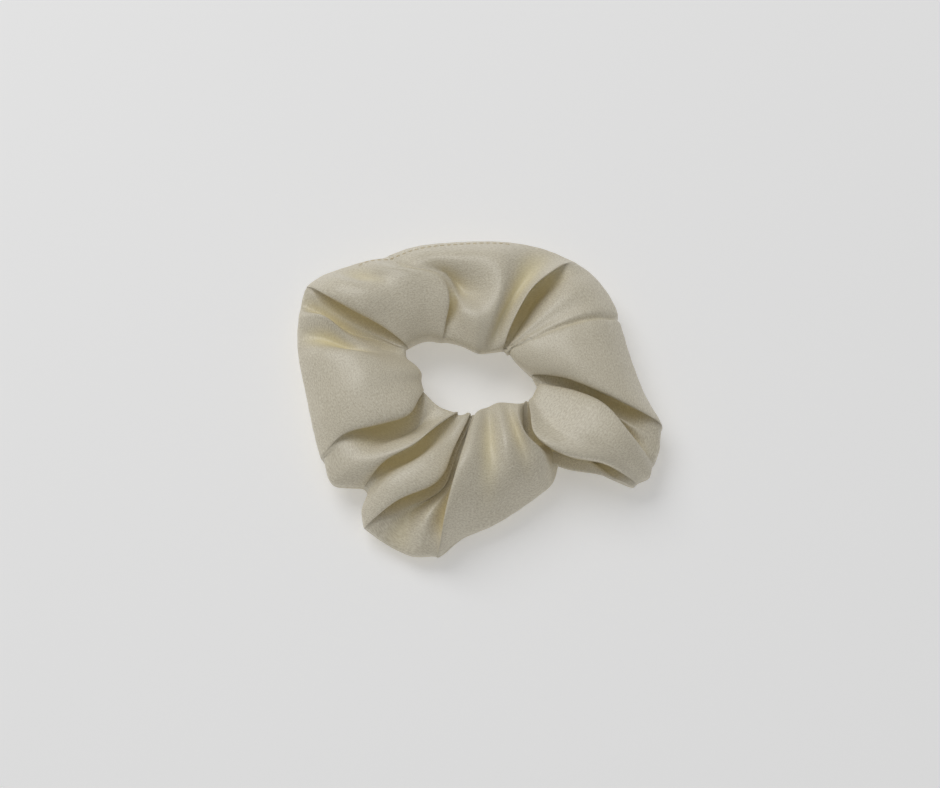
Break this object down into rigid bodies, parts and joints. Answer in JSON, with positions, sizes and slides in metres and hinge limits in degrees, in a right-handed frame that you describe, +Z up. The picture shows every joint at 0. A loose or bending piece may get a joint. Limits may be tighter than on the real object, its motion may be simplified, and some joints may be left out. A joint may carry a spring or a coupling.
{
  "type": "scrunchie",
  "caption": "Gathered satin sleeve sewn round a ring of flat elastic, pulled open along one axis to hold a bundle of hair.",
  "frame": {"origin": "centre of the bounding box in plan, on the surface that the ring rests on", "axes": "+Z up through the hair opening, +X along the long side of the ring, which is also the way that it is pulled open, +Y towards the plain back of the ring"},
  "size_m": [0.11, 0.096, 0.024],
  "materials": {
    "satin": "ivory crepe-backed satin, soft sheen",
    "elastic": "white braided elastic",
    "thread": "ivory polyester sewing thread"
  },
  "bodies": {
    "left_half": {"cover_left": "satin", "elastic_left": "elastic", "elastic_join_stitches": "thread", "long_seam_allowance_left": "satin", "long_seam_thread_left": "thread", "gap_topstitch": "thread"},
    "right_half": {"cover_right": "satin", "elastic_right": "elastic", "long_seam_allowance_right": "satin", "long_seam_thread_right": "thread", "end_seam_allowance": "satin", "end_seam_thread": "thread"}
  },
  "joints": [
    {"name": "stretch", "type": "slide", "parent": "left_half", "child": "right_half", "axis": [1, 0, 0], "range_m": [0, 0.06], "stiffness_N_per_m": 60}
  ]
}
